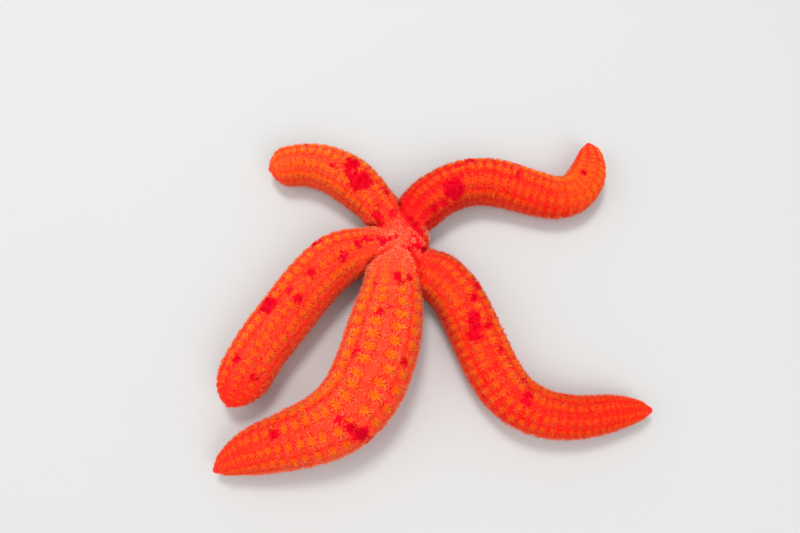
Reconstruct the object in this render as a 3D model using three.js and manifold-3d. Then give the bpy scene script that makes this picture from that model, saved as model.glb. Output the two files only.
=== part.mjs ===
// A red Mediterranean starfish at life size, lying flat with its five arms bent.
// Millimetres, +Z up. The origin is at the middle of its outline, on the floor.
import * as THREE from "three";
import { mergeVertices } from "three/addons/utils/BufferGeometryUtils.js";
import Module from "manifold-3d";

const wasm = await Module();
wasm.setup();

// ---- Driving dimensions ----

const GAP = 0.3; // kept between two pieces that touch
const NECK = 8.6; // half width of every arm where it leaves the disc
const ROOT_FADE = 34; // distance along the arm where its line no longer feels rootLeft
const DISC_JOIN = 16; // distance along the arm where the disc ends and the arm begins
const SIT = 0.85; // height of an arm's axis above its sole, as a share of its half width
const TIP_LIFT = 1.5; // rise of the axis at the very tip
const TAPER_FROM = 0.45; // share of the length where the taper begins
const TAPER_POWER = 1.5;

// headings: compass of the axis in degrees, anticlockwise from +X, at equal steps from disc to tip.
// halfWidth is reached at swollenBy mm, from neckEnd on; the width falls to tipShare of it, and the
// end is rounded from the share roundedFrom of the length. rootLeft is how far left of the middle
// of the disc the axis begins.
const ARMS = [
  { name: "arm_1", length: 79.8, halfWidth: 11.5, swollenBy: 43, tipShare: 0.76, roundedFrom: 0.89,
    neckEnd: 8, rootLeft: 0, headings: [122, 129, 133, 143, 160, 183, 193] },
  { name: "arm_2", length: 122, halfWidth: 11.1, swollenBy: 24, tipShare: 0.69, roundedFrom: 0.84,
    neckEnd: 4, rootLeft: 2.5, headings: [74, 50, 16, -14, -10, 58, 95] },
  { name: "arm_3", length: 143, halfWidth: 11.7, swollenBy: 22, tipShare: 0.56, roundedFrom: 0.83,
    neckEnd: 8, rootLeft: -6, headings: [-39, -54, -67, -60, -18, 8, 0] },
  { name: "arm_4", length: 140, halfWidth: 16.6, swollenBy: 50, tipShare: 0.43, roundedFrom: 0.85,
    neckEnd: -10, rootLeft: -4, headings: [-106, -103, -103, -121, -156, -164, -147] },
  { name: "arm_5", length: 110.7, halfWidth: 12.6, swollenBy: 36, tipShare: 0.9, roundedFrom: 0.84,
    neckEnd: 8, rootLeft: 0, headings: [-174, -166, -138, -126, -126, -118, -115] },
];
const LENGTHS = ["base", "inner", "middle", "outer", "tip"]; // the pieces that each arm is divided into
const SPLITS = [0.32, 0.5, 0.67, 0.84]; // where they meet, as shares of the arm's length
const PATH_STEPS = 240;

// The skin gills stand in tufts, in four lengthwise rows down each side of an arm.
const TUFT_ROWS = [17.5, 48.5, 79.5, 110]; // degrees from the top of the arm
const DIPS = [33, 64, 95, 127]; // the skin between the rows
const TUFT_HEIGHT = 0.9;
const TUFT_PITCH = 0.57; // from tuft to tuft along the arm, in half widths
const SOLE_EDGE = 0.527; // half width of the flat sole, in half widths of the arm

// The groove under each arm, in half widths of the arm: at the sole, inside, and its roof.
const GROOVE = { lip: 0.25, spineLip: 0.19, wall: 0.15, wallTop: 0.26, roof: 0.3 };

// Two rows of tube feet hang from the roof of the groove to just over the floor. The first four
// values are in millimetres. The others are in half widths of the arm, of which least is the least.
const FOOT = {
  pitch: 9, clear: 0.3, sway: 0.5, least: 5.5,
  row: 0.093, root: 0.05, sunk: 0.06, neck: 0.045, sucker: 0.088, flare: 0.05, sides: 5,
};
const FOOT_SEED = 11;

const DISC = { radius: 9.8, bottom: 1, shoulder: 11, top: 17.2, sides: 24 };
const MOUTH = { radius: 5.2, depth: 3.4, opening: 1.1, filmTop: 2.9, filmThick: 0.9, sides: 20 };
const JAW = { inner: 1.5, width: 3.4, tipWidth: 1.2, bottom: 0.4, top: 1.6 };
const MADREPORITE = { radius: 1.5, distance: 3.2, heading: -25, sunk: 1.2, proud: 0.6, sides: 12 };
const TERMINAL = { radius: 2.4, proud: 0.8, seat: 2.7, sides: 10, rings: 4 };

const CREASE_FROM = 9; // the crease between two neighbouring arms is followed from here, in steps
const CREASE_STEP = 3;
const CREASE_CLEAR = 2; // to where the two arms are this far apart
const TALL = 60; // more than any height here

// ---- The line and the width of an arm ----

// Catmull-Rom value through evenly spaced numbers, at t from 0 to 1.
function through(values, t) {
  const last = values.length - 1;
  const i = Math.min(Math.floor(t * last), last - 1);
  const w = t * last - i;
  const [a, b, c, d] = [i - 1, i, i + 1, i + 2].map((k) => values[THREE.MathUtils.clamp(k, 0, last)]);
  const [leave, arrive] = [(c - a) / 2, (d - b) / 2];
  return ((2 * b - 2 * c + leave + arrive) * w + (3 * c - 3 * b - 2 * leave - arrive)) * w * w + leave * w + b;
}

function headingOf(arm, t) {
  const share = Math.min(1, t * arm.length / ROOT_FADE);
  const turnBack = Math.atan(arm.rootLeft * 6 * share * (1 - share) / ROOT_FADE);
  return THREE.MathUtils.degToRad(through(arm.headings, t)) - turnBack;
}

// The axis seen from above, as points at equal steps along the arm.
function pathOf(arm) {
  const start = headingOf(arm, 0);
  const points = [new THREE.Vector2(-Math.sin(start), Math.cos(start)).multiplyScalar(arm.rootLeft)];
  const step = arm.length / PATH_STEPS;
  for (let i = 0; i < PATH_STEPS; i++) {
    const heading = headingOf(arm, (i + 0.5) / PATH_STEPS);
    points.push(points[i].clone().add(new THREE.Vector2(Math.cos(heading), Math.sin(heading)).multiplyScalar(step)));
  }
  return points;
}

// Half width before the end is rounded off.
function fullWidth(arm, s) {
  const swell = THREE.MathUtils.smoothstep(s, arm.neckEnd, arm.swollenBy);
  const along = Math.max(0, s / arm.length - TAPER_FROM) / (1 - TAPER_FROM);
  return (NECK + (arm.halfWidth - NECK) * swell) * (1 - (1 - arm.tipShare) * along ** TAPER_POWER);
}

// How far into the rounded end a place is, from 0 to 1.
const endShare = (arm, s) => Math.max(0, s / arm.length - arm.roundedFrom) / (1 - arm.roundedFrom);

const radiusOf = (arm, s) => fullWidth(arm, s) * Math.sqrt(Math.max(0, 1 - endShare(arm, s) ** 2));

// Place, directions and half width of the arm at a distance s from the middle of the disc.
function station(arm, s) {
  const t = s / arm.length;
  const i = Math.min(Math.floor(t * PATH_STEPS), PATH_STEPS - 1);
  const ground = arm.path[i].clone().lerp(arm.path[i + 1], t * PATH_STEPS - i);
  const heading = headingOf(arm, t);
  const height = SIT * fullWidth(arm, s) + TIP_LIFT * endShare(arm, s) ** 2;
  return {
    place: new THREE.Vector3(ground.x, ground.y, height),
    forward: new THREE.Vector3(Math.cos(heading), Math.sin(heading), 0),
    left: new THREE.Vector3(-Math.sin(heading), Math.cos(heading), 0),
    radius: radiusOf(arm, s),
  };
}

// ---- Solids ----

function solid(geometry) {
  const bare = geometry.clone();
  bare.deleteAttribute("normal");
  bare.deleteAttribute("uv");
  const merged = mergeVertices(bare, 1e-4);
  return new wasm.Manifold(new wasm.Mesh({
    numProp: 3,
    vertProperties: new Float32Array(merged.attributes.position.array),
    triVerts: new Uint32Array(merged.index.array),
  }));
}

function geometryOf(body) {
  const mesh = body.getMesh();
  return new THREE.BufferGeometry()
    .setAttribute("position", new THREE.BufferAttribute(mesh.vertProperties, 3))
    .setIndex(new THREE.BufferAttribute(mesh.triVerts, 1));
}

// The largest closed surface of a solid, so that no scrap of a cut stays.
const largest = (body) => body.decompose().reduce((a, b) => (b.volume() > a.volume() ? b : a));

// A closed skin over rings of points that run left over the top, with a fan at each end.
function loft(rings, startMiddle, endMiddle) {
  const count = rings[0].length;
  const positions = [...rings.flat(), startMiddle, endMiddle].flatMap((p) => p.toArray());
  const startIndex = rings.length * count;
  const index = [];
  const lastRing = (rings.length - 1) * count;
  for (let i = 0; i < count; i++) {
    const next = (i + 1) % count;
    for (let ring = 0; ring < lastRing; ring += count) {
      const [a, b, c, d] = [ring + i, ring + next, ring + count + i, ring + count + next];
      index.push(a, c, b, b, c, d);
    }
    index.push(startIndex, i, next, startIndex + 1, lastRing + next, lastRing + i);
  }
  return new THREE.BufferGeometry()
    .setAttribute("position", new THREE.Float32BufferAttribute(positions, 3))
    .setIndex(index);
}

// Points of one cross-section at unit half width, [left, up] from the axis, starting at the top.
// raised is the height of the tufts there, also in half widths.
function crossSection(raised) {
  const skin = 1 - raised.below;
  const at = (degrees, size) => {
    const angle = THREE.MathUtils.degToRad(degrees);
    return [size * Math.sin(angle), size * Math.cos(angle)];
  };
  const left = [];
  TUFT_ROWS.forEach((row, i) => left.push(at(row, skin + raised.tuft), at(DIPS[i], skin)));
  left.push([SOLE_EDGE, -SIT], [raised.lip, -SIT], [GROOVE.wall, GROOVE.wallTop - SIT]);
  const right = left.map(([across, up]) => [-across, up]).reverse();
  return [at(0, skin), ...left, [0, GROOVE.roof - SIT], ...right];
}

function place({ place: at, left, radius }, [across, up]) {
  return at.clone().addScaledVector(left, across * radius).add(new THREE.Vector3(0, 0, up * radius));
}

// One length of an arm: a ring over each row of tufts and one in each dip between them.
function armLength(arm, from, to) {
  const pitch = TUFT_PITCH * (radiusOf(arm, from) + radiusOf(arm, (from + to) / 2)) / 2;
  const tufts = Math.max(1, Math.round((to - from) / pitch));
  const rings = [];
  for (let i = 0; i <= 2 * tufts; i++) {
    const here = station(arm, from + (to - from) * i / (2 * tufts));
    const below = TUFT_HEIGHT / here.radius * Math.min(1, here.radius / NECK);
    const onTuft = i % 2 === 1;
    const raised = { below, tuft: onTuft ? below : 0, lip: onTuft ? GROOVE.spineLip : GROOVE.lip };
    rings.push(crossSection(raised).map((point) => place(here, point)));
  }
  return solid(loft(rings, station(arm, from).place, station(arm, to).place));
}

// The ground that belongs to a neighbouring arm: from the crease that the two arms share
// to the neighbour's own axis, as a tall prism. Half of the gap lies on each side of the crease.
function neighbourGround(arm, neighbour) {
  const crease = [];
  const axis = [];
  let clearance = 0;
  for (let s = CREASE_FROM; clearance < CREASE_CLEAR || crease.length < 2; s += CREASE_STEP) {
    const own = station(arm, s);
    const other = station(neighbour, s);
    const apart = own.place.clone().setZ(0).distanceTo(other.place.clone().setZ(0));
    const share = own.radius / (own.radius + other.radius) - GAP / 2 / apart;
    crease.push(new THREE.Vector2().lerpVectors(own.place, other.place, share));
    axis.unshift(new THREE.Vector2(other.place.x, other.place.y));
    clearance = apart - own.radius - other.radius;
  }
  const outline = new THREE.Shape([...crease, ...axis]);
  const prism = new THREE.ExtrudeGeometry(outline, { depth: TALL, bevelEnabled: false });
  return solid(prism.translate(0, 0, -TALL / 2));
}

// A tube foot: a stalk from the roof of the groove that flares to a sucker at its lower end.
function tubeFoot(arm, s, side) {
  const here = station(arm, s);
  const width = Math.max(here.radius, FOOT.least);
  const sole = place(here, [0, -SIT]).z;
  const levels = [
    { size: FOOT.root, z: sole + GROOVE.roof * here.radius + FOOT.sunk * width },
    { size: FOOT.neck, z: sole + FOOT.clear + FOOT.flare * width },
    { size: FOOT.sucker, z: sole + FOOT.clear },
  ];
  const sway = new THREE.Vector2(THREE.MathUtils.seededRandom() - 0.5, THREE.MathUtils.seededRandom() - 0.5);
  const middles = levels.map(({ z }, i) => here.place.clone().setZ(z)
    .addScaledVector(here.left, side * FOOT.row * width)
    .add(new THREE.Vector3(sway.x, sway.y, 0).multiplyScalar(FOOT.sway * i / (levels.length - 1))));
  const rings = levels.map(({ size }, i) => Array.from({ length: FOOT.sides }, (_, k) => {
    const turn = 2 * Math.PI * k / FOOT.sides;
    return middles[i].clone().add(new THREE.Vector3(Math.cos(turn), Math.sin(turn), 0).multiplyScalar(size * width));
  }));
  return solid(loft(rings, middles[0], middles[levels.length - 1]));
}

// A piece with its tube feet, by turns left and right from one distance along the arm to another.
function withFeet(piece, arm, from, to) {
  const feet = 2 * Math.max(1, Math.round((to - from) / FOOT.pitch));
  let whole = piece;
  for (let i = 0; i < feet; i++) {
    whole = whole.add(tubeFoot(arm, from + (to - from) * (i + 0.5) / feet, i % 2 ? -1 : 1));
  }
  return whole;
}

const clearOf = (piece, arm, neighbours) => neighbours
  .reduce((rest, other) => rest.subtract(neighbourGround(arm, other)), piece);

// The bare root of an arm, inside the disc, and the groove cut along under it.
function armRoot(arm) {
  const steps = 5;
  const rings = [];
  const raised = { below: TUFT_HEIGHT / 2 / NECK, tuft: 0, lip: GROOVE.lip };
  for (let i = 0; i <= steps; i++) {
    const here = station(arm, (DISC_JOIN - GAP / 2) * i / steps);
    const flat = crossSection(raised).filter(([across, up]) => Math.abs(across) > GROOVE.lip || up > 0);
    rings.push(flat.map((point) => place(here, point)));
  }
  return solid(loft(rings, station(arm, 0).place, station(arm, DISC_JOIN - GAP / 2).place));
}

function grooveCutter(arm) {
  const under = -SIT - 0.3;
  const half = [[GROOVE.wall, GROOVE.wallTop - SIT], [GROOVE.lip, -SIT], [GROOVE.lip, under]];
  const other = half.map(([across, up]) => [-across, up]).reverse();
  const outline = [[0, GROOVE.roof - SIT], ...half, ...other];
  const steps = 4;
  const rings = [];
  for (let i = 0; i <= steps; i++) {
    const here = station(arm, (DISC_JOIN + 1) * i / steps);
    rings.push(outline.map((point) => place(here, point)));
  }
  const middle = (s) => place(station(arm, s), [0, -SIT]);
  return solid(loft(rings, middle(0), middle(DISC_JOIN + 1)));
}

// ---- The pieces ----

const turned = (profile, sides) => new THREE.LatheGeometry(profile.map(([r, z]) => new THREE.Vector2(r, z)), sides)
  .rotateX(Math.PI / 2);

function discDome() {
  const { radius, bottom, shoulder, top, sides } = DISC;
  const profile = [[0, bottom], [radius - 1, bottom], [radius, bottom + 2], [radius, shoulder]];
  for (const angle of [25, 50, 70]) {
    const turn = THREE.MathUtils.degToRad(angle);
    profile.push([radius * Math.cos(turn), shoulder + (top - shoulder) * Math.sin(turn)]);
  }
  return solid(turned([...profile, [0, top]], sides));
}

function mouthHollow() {
  const { radius, depth, sides } = MOUTH;
  return solid(turned([[0, -1], [radius, -1], [radius, depth - 0.6], [radius - 1, depth], [0, depth]], sides));
}

// The stone canal's sieve plate: a low button in a pocket on top of the disc.
function madreporiteAt(extra) {
  const { radius, distance, heading, sunk, proud, sides } = MADREPORITE;
  const profile = [[0, -sunk - extra], [radius + extra, -sunk - extra], [radius + extra, proud * 0.4]];
  if (extra) profile.push([radius + extra, proud + 2], [0, proud + 2]);
  else profile.push([radius * 0.7, proud * 0.85], [0, proud]);
  const turn = THREE.MathUtils.degToRad(heading);
  const drop = Math.acos(Math.min(1, distance / DISC.radius));
  const surface = DISC.shoulder + (DISC.top - DISC.shoulder) * Math.sin(drop);
  return turned(profile, sides).translate(distance * Math.cos(turn), distance * Math.sin(turn), surface);
}

function mouthFilm() {
  const { radius, opening, filmTop, filmThick, sides } = MOUTH;
  const outer = radius - 1 - GAP;
  const under = filmTop - filmThick;
  return turned([[opening, under], [outer, under], [outer, filmTop], [opening + 0.4, filmTop], [opening, under]], sides);
}

// One of the five jaws that point at the mouth, between two arms.
function jawBetween(arm, neighbour) {
  const a = headingOf(arm, 0);
  let b = headingOf(neighbour, 0);
  if (b < a) b += 2 * Math.PI;
  const outer = MOUTH.radius - GAP;
  const { inner, width, tipWidth, bottom, top } = JAW;
  const outline = new THREE.Shape([[inner, -tipWidth / 2], [outer - 0.3, -width / 2], [outer - 0.3, width / 2],
    [inner, tipWidth / 2]].map(([x, y]) => new THREE.Vector2(x, y)));
  return new THREE.ExtrudeGeometry(outline, { depth: top - bottom, bevelEnabled: false })
    .rotateZ((a + b) / 2)
    .translate(0, 0, bottom);
}

// Where the tip is narrow enough to take the terminal plate.
function tipEnd(arm) {
  let s = arm.length;
  while (radiusOf(arm, s) < TERMINAL.seat) s -= 0.05;
  return s;
}

function terminalPlate(arm) {
  const { radius, proud, sides, rings: count } = TERMINAL;
  const start = station(arm, tipEnd(arm));
  const length = arm.length + proud - tipEnd(arm) - GAP;
  const rings = [];
  for (let ring = 0; ring < count; ring++) {
    const along = Math.sin(Math.PI / 2 * ring / count);
    const size = radius * Math.cos(Math.PI / 2 * ring / count);
    const middle = start.place.clone().addScaledVector(start.forward, GAP + length * along);
    rings.push(Array.from({ length: sides }, (_, i) => {
      const angle = 2 * Math.PI * i / sides;
      return middle.clone().addScaledVector(start.left, size * Math.sin(angle))
        .add(new THREE.Vector3(0, 0, size * Math.cos(angle)));
    }));
  }
  const ends = [GAP, GAP + length].map((reach) => start.place.clone().addScaledVector(start.forward, reach));
  return loft(rings, ...ends);
}

// ---- Materials ----

const finish = (color, roughness) => new THREE.MeshStandardMaterial({ color, roughness, metalness: 0 });
const SKIN = finish(0xf2331c, 0.6);
const PLATE = finish(0xe2492c, 0.5);
const PALE = finish(0xe8a07a, 0.55);

// ---- The starfish ----

const starfish = new THREE.Group();
starfish.name = "starfish";

function add(name, geometry, material) {
  const mesh = new THREE.Mesh(geometry, material);
  mesh.name = name;
  starfish.add(mesh);
}

ARMS.forEach((arm) => { arm.path = pathOf(arm); });
const neighboursOf = (i) => [ARMS[(i + 1) % ARMS.length], ARMS[(i + ARMS.length - 1) % ARMS.length]];

const roots = ARMS.map((arm, i) => clearOf(armRoot(arm), arm, neighboursOf(i)));
let disc = roots.reduce((a, b) => a.add(b), discDome());
[mouthHollow(), solid(madreporiteAt(GAP)), ...ARMS.map(grooveCutter)].forEach((cut) => {
  disc = disc.subtract(cut);
});
THREE.MathUtils.seededRandom(FOOT_SEED);
ARMS.forEach((arm) => {
  disc = withFeet(disc, arm, MOUTH.radius + GAP, DISC_JOIN - GAP);
});
add("disc", geometryOf(largest(disc)), SKIN);
add("madreporite", madreporiteAt(0), PALE);
add("mouth_film", mouthFilm(), PALE);

ARMS.forEach((arm, i) => {
  const ends = [DISC_JOIN, ...SPLITS.map((share) => share * arm.length), tipEnd(arm)];
  LENGTHS.forEach((part, k) => {
    const last = k === LENGTHS.length - 1;
    let piece = armLength(arm, ends[k] + GAP / 2, ends[k + 1] - (last ? 0 : GAP / 2));
    piece = withFeet(piece, arm, ends[k], ends[k + 1]);
    if (k === 0) piece = clearOf(piece, arm, neighboursOf(i));
    add(`${arm.name}_${part}`, geometryOf(largest(piece)), SKIN);
  });
  add(`${arm.name}_terminal_plate`, terminalPlate(arm), PLATE);
  add(`jaw_${i + 1}`, jawBetween(arm, ARMS[(i + ARMS.length - 1) % ARMS.length]), PALE);
});

const outline = new THREE.Box3().setFromObject(starfish);
const middle = outline.getCenter(new THREE.Vector3());
starfish.position.set(-middle.x, -middle.y, 0);

export default starfish;
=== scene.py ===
# The looks of a red Mediterranean starfish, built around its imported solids.
# Lengths are in millimetres until a mesh is made, which is in metres.
import math

import bpy
import numpy as np
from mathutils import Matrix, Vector, kdtree
from mathutils.bvhtree import BVHTree


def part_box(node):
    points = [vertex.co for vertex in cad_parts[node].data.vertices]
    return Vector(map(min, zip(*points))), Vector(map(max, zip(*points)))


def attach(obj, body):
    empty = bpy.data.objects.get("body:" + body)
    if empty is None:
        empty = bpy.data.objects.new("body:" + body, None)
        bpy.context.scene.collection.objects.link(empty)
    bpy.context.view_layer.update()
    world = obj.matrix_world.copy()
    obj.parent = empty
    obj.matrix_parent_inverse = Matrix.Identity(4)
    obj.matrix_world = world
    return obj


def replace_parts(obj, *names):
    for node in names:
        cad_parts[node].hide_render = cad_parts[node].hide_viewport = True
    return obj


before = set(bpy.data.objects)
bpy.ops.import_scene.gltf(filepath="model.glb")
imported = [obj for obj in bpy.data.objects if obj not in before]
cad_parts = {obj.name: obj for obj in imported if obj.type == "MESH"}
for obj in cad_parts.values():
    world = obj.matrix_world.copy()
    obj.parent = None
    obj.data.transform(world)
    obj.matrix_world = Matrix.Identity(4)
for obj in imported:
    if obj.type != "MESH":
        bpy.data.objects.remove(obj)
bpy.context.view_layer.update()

MM = 0.001
rng = np.random.default_rng(7)

# ---- The arms, as the solids have them ----

NECK = 8.6  # half width where an arm leaves the disc
ROOT_FADE = 34  # distance along the arm where its line no longer feels root_left
SIT = 0.85  # height of the axis, in half widths
TIP_LIFT = 1.5
TAPER_FROM = 0.45
TAPER_POWER = 1.5
PATH_STEPS = 720
# An arm begins root_left to the left of the middle of the disc, and swells from neck_end on.
# These run along an arm in equal steps: warmth is how yellow its gills are, glow how orange it is, or below
# nothing how red, and roll how many degrees its rows of tufts turn to the left. paleness is of its skin.
ARM_SIZES = [
    dict(name="arm_1", length=79.8, half_width=11.5, tip_share=0.76, rounded_from=0.89,
         neck_end=8, swollen_by=43, root_left=0, headings=(122, 129, 133, 143, 160, 183, 193),
         warmth=(0.8, 1), glow=(-0.3, 0.1, 0.3, 0.5), paleness=0.4, roll=(0, 0)),
    dict(name="arm_2", length=122, half_width=11.1, tip_share=0.69, rounded_from=0.84,
         neck_end=4, swollen_by=24, root_left=2.5, headings=(74, 50, 16, -14, -10, 58, 95),
         warmth=(0.1, 0.2), glow=(-0.8, -0.5, -0.2, 0, 0.2, 0.7, -0.2), paleness=0.0,
         roll=(0, 0, 0, -4, -12, -17, -10)),
    dict(name="arm_3", length=143, half_width=11.7, tip_share=0.56, rounded_from=0.83,
         neck_end=8, swollen_by=22, root_left=-6, headings=(-39, -54, -67, -60, -18, 8, 0),
         warmth=(0.3, 0.3), glow=(0.1, 0.2, 0, -0.75, -1), paleness=0.15, roll=(0, 0)),
    dict(name="arm_4", length=140, half_width=16.6, tip_share=0.43, rounded_from=0.85,
         neck_end=-10, swollen_by=50, root_left=-4, headings=(-106, -103, -103, -121, -156, -164, -147),
         warmth=(1, 1), glow=(0, 0, 0, -0.5, -1), paleness=1.0, roll=(5, 5, 5, 4, -4, -6)),
    dict(name="arm_5", length=110.7, half_width=12.6, tip_share=0.9, rounded_from=0.84,
         neck_end=8, swollen_by=36, root_left=0, headings=(-174, -166, -138, -126, -126, -118, -115),
         warmth=(0.3, 0.4), glow=(-0.5, -0.1, 0, 0, -0.1, -1), paleness=0.7, roll=(-12, -12)),
]
ARM_PARTS = ("base", "inner", "middle", "outer", "tip")
TERMINAL_SEAT = 2.7  # half width of an arm where the terminal plate sits
TERMINAL_RADIUS = 2.4
TERMINAL_PROUD = 0.75  # of the plate, past the arm's length
TERMINAL_SUNK = 2.4  # of its widest part, short of the arm's length
TERMINAL_SHOWN = 2.1  # radius of what shows of it
DISC_RADIUS = 9.8
DISC_TOP = 17.2
SIEVE_RADIUS = 1.8  # of the madreporite, which is a sieve plate
SIEVE_BARE = 0.5  # width of the bare ring around it
SIEVE_HIGH = 1.3  # of its dome
SIEVE_SUNK = 0.2  # of its widest part, below the skin
MOUTH_RADIUS = 5.2
MOUTH_DEPTH = 4.4  # height of the roof of the hollow around the mouth

# ---- What only the looks have ----

INSET = 1.15  # the skin lies this far inside the ends of the gills
INSET_TO_TIP = (0.8, 0.97)  # shares of an arm's length between which that halves
SOLE = 0.35  # height of the skin of the sole over the floor
FLOOR_CLEAR = 0.05  # nothing reaches lower
VOXEL = 0.78  # of the grid on which the arms and the disc are fused into one skin
GROOVE_LIP = 0.25  # half width of the groove at the sole, in half widths of the arm, as are the next two
GROOVE_WALL = 0.17  # its half width at the top of its walls
GROOVE_DEPTH = 0.36

TUFT_ROWS = (17.5, 48.5, 79.5, 110)  # degrees from the top of the arm
TUFT_PITCH = 0.34  # in half widths of the arm
ROW_WANDER = 1.2  # degrees by which the tufts of a row usually stray from it
TUFTS_FROM = 8  # distance from the middle of the disc
TUFTS_END = 2.6  # distance from an arm's end
CUSHION = 0.45  # how far a tuft lifts the skin
GILLS = 70  # in a tuft of the usual radius
FEWEST_GILLS = 12
USUAL_TUFT = 2.0
GILL_LENGTH = 1.35
GILL_RADIUS = 0.115
GILL_SUNK = 0.3  # depth of its root
GILL_STEP = 137.5  # degrees round the tuft from each gill to the next, as seeds stand in a sunflower
TUFT_FILLED = 0.78  # share of a tuft's radius within which its gills stand
TUFT_WIDENED = 1.5  # across the arm
TUFT_NARROWED = 0.85  # along it
FUZZ_EVERY = 0.65  # square millimetres of skin for each hair, where they stand farthest apart
FUZZ_LENGTH = 0.75
FUZZ_RADIUS = 0.09
FUZZ_SUNK = 0.1
ALL_ROUND = 6.3  # a full turn in radians, and a little more
PIECE_TRIANGLES = 180000  # most in one piece of the coat
TUFT_ON_MAP = 0.003  # width of a tuft on the map that its colours are baked to

# ---- The photograph's camera, and places in its frame of 800 x 533 pixels ----

FRAME_WIDTH, FRAME_HEIGHT = 800, 533
FOCAL_PIXELS = 650
ELEVATION = 74
DISTANCE = 300
TARGET_FROM_DISC = (-3.112, -8.703)  # on the floor

# Crimson blotches, each listed: x, y and radius.
BLOTCHES = [
    # arms 1 and 2
    (352, 164, 7), (349, 172, 4), (359, 181, 9), (367, 182, 4), (385, 192, 3), (306, 146, 2), (334, 167, 2),
    (454, 189, 9), (457, 167, 3), (472, 162, 3), (519, 175, 2.5), (555, 177, 2.5), (584, 173, 2.5),
    # arm 5
    (344, 257, 4), (311, 273, 4), (298, 299, 4), (290, 292, 3), (268, 305, 8), (237, 359, 3.5),
    (254, 377, 2), (221, 390, 2),
    # arm 4
    (397.5, 276.5, 4), (400.5, 282, 2), (408.5, 278, 2.5), (376, 284, 2), (389, 306, 2), (379, 312, 2.5),
    (357, 352, 3.5),
    (404, 362, 2.5), (339, 419, 4), (349, 427, 4.5), (360, 434, 8), (369, 438, 4), (274, 434, 4),
    # arm 3
    (476, 286, 3), (473, 297, 3), (473, 318, 6), (475, 327, 6), (475, 335, 6), (488, 326, 4),
    (499, 350, 2.5), (524, 382, 3), (528, 396, 4), (527, 403, 4),
    # the disc, and the roots of arms 1 and 2
    (384, 242, 4), (380, 240, 2.5), (390, 239, 2), (396, 236.5, 2), (371, 239, 2), (366, 239, 2),
    (357, 243, 3),
    (414.5, 237, 2), (416.5, 240, 1.8), (416, 245, 3.8), (405.5, 247.5, 1.6), (409, 249, 1.6),
    (422, 250, 3.5),
    (379, 217, 3.5), (375, 214, 2), (393, 211.5, 2), (392, 217, 1.5), (380.5, 225.5, 1.8), (377, 206, 1.2),
    (410, 219, 2.5), (416, 226, 3), (421, 232, 2.5), (434, 208, 3), (443, 203, 2.5), (438, 222, 2),
    (427, 222, 1.5),
]
# Folds where the arms meet on the disc: x and y of points along each.
FOLDS = [
    [(396, 199), (402, 210), (409, 221), (418, 231), (427, 242)],
    [(361, 274), (370, 264), (380, 254), (389, 248)],
    [(412, 253), (416, 260), (419, 268), (421, 277)],
    [(363, 227), (372, 225), (382, 224)],
    [(427, 243), (424, 251)],
]
BLOTCH_SPREAD = 1.1  # of a blotch over its size in the list, for its ragged edge
HIDDEN_BLOTCHES = 16  # on the sides that face away from the camera
HIDDEN_RADIUS = (0.8, 2.6)
FOLD_DEPTH = 1.1
FOLD_WIDTH = 1.0
BANK_HEIGHT = 0.5  # of the swelling beside each fold
BANK_AWAY = 3.4  # distance of its crest from the fold

# ---- The studio, in metres ----

# Each light: its name, place and width, and its power in watts.
LIGHTS = [
    ("key", (-0.15, 0.5, 1.1), 0.35, 8.6),
    ("fill", (0.5, -0.7, 0.9), 0.9, 6.0),
    ("side", (-0.9, -0.1, 0.8), 0.9, 3.4),
]
SKY = (0.95, 0.97, 1.0, 1)
SKY_STRENGTH = 0.81
FLOOR_REACH = 4.0


# ---- Sums on many points at once ----


def smoothstep(low, high, value):
    share = np.clip((value - low) / (high - low), 0, 1)
    return share * share * (3 - 2 * share)


def through(values, t):
    """Catmull-Rom values through evenly spaced numbers, at t from 0 to 1."""
    values = np.asarray(values, float)
    last = len(values) - 1
    i = np.minimum(np.floor(np.clip(t, 0, 1) * last).astype(int), last - 1)
    w = np.clip(t, 0, 1) * last - i
    a, b, c, d = (values[np.clip(i + k, 0, last)] for k in (-1, 0, 1, 2))
    leave, arrive = (c - a) / 2, (d - b) / 2
    cubed = 2 * b - 2 * c + leave + arrive
    squared = 3 * c - 3 * b - 2 * leave - arrive
    return (cubed * w + squared) * w * w + leave * w + b


def unit(vectors):
    return vectors / np.maximum(np.linalg.norm(vectors, axis=-1, keepdims=True), 1e-9)


def times(vectors, lengths):
    return vectors * np.asarray(lengths)[..., None]


def pick(table, keep):
    """The same rows of every column of a table, which is a dict of arrays."""
    return {key: values[keep] for key, values in table.items()}


# ---- The arms ----


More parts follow.
